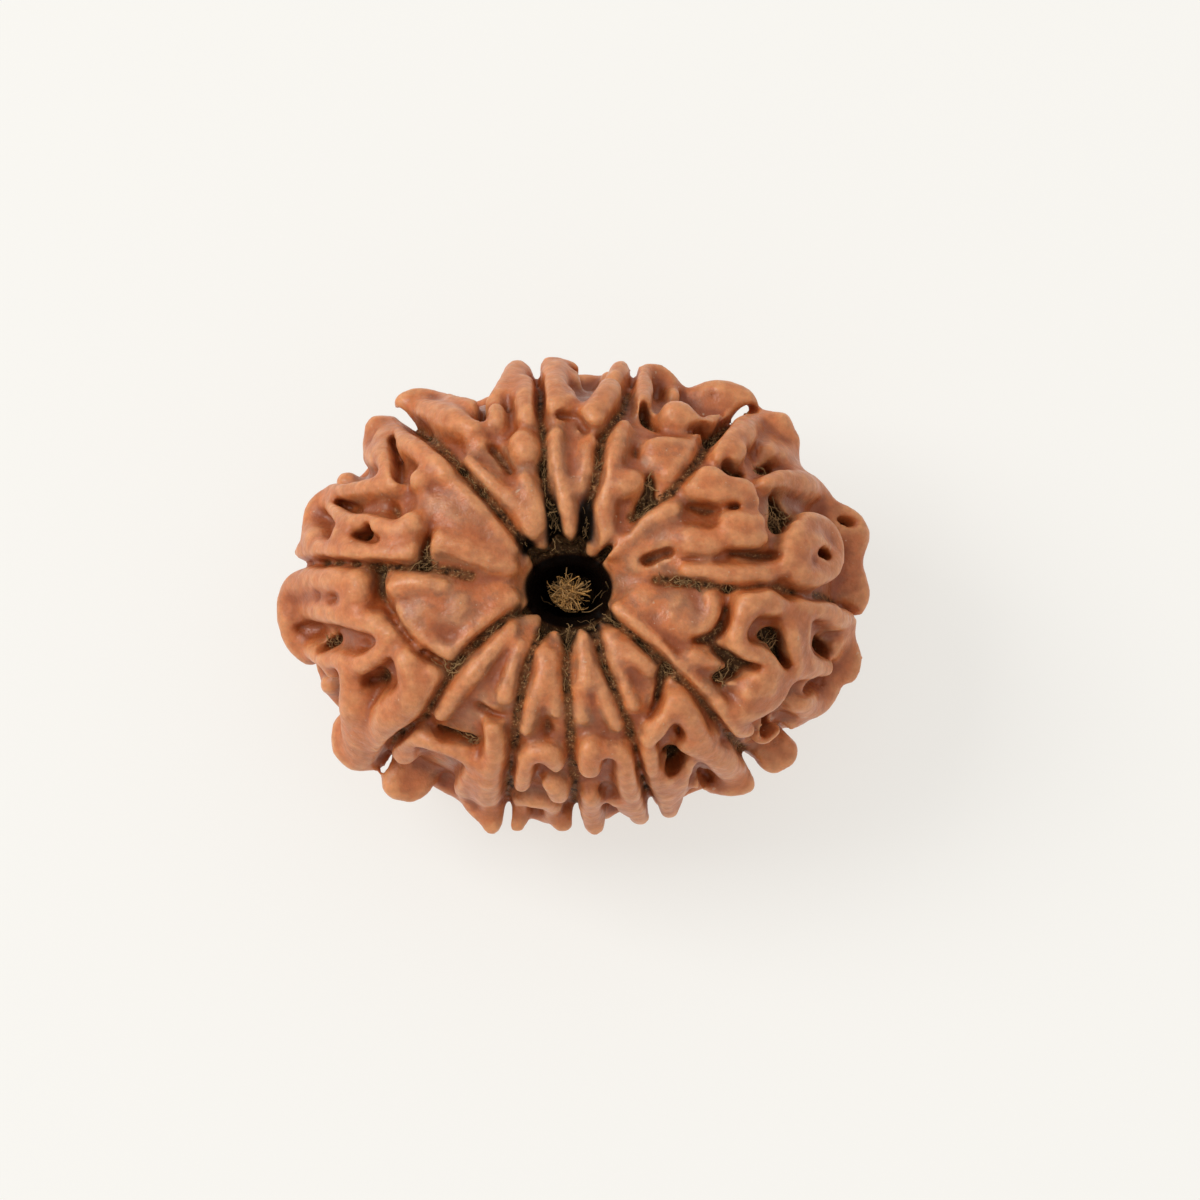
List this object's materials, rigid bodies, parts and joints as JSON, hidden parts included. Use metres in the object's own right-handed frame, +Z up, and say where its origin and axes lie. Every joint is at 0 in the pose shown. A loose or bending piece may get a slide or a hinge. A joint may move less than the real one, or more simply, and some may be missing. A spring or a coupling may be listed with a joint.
{
  "type": "rudraksha bead",
  "caption": "Natural rudraksha seed stone used as a bead: oval, deeply furrowed into lobes with raised knobbly ridges, and a stringing hole through its middle. Lies free on its flatter end.",
  "frame": {"origin": "on the ground under the middle of the bead's bounding box", "axes": "+Z up; +X along the bead's wider side; -Y towards the side that the stringing hole leans to"},
  "size_m": [0.0238, 0.0184, 0.0151],
  "materials": {
    "stone": "waxy, handled, satin"
  },
  "bodies": {
    "root": {"bead": "stone"}
  },
  "joints": []
}
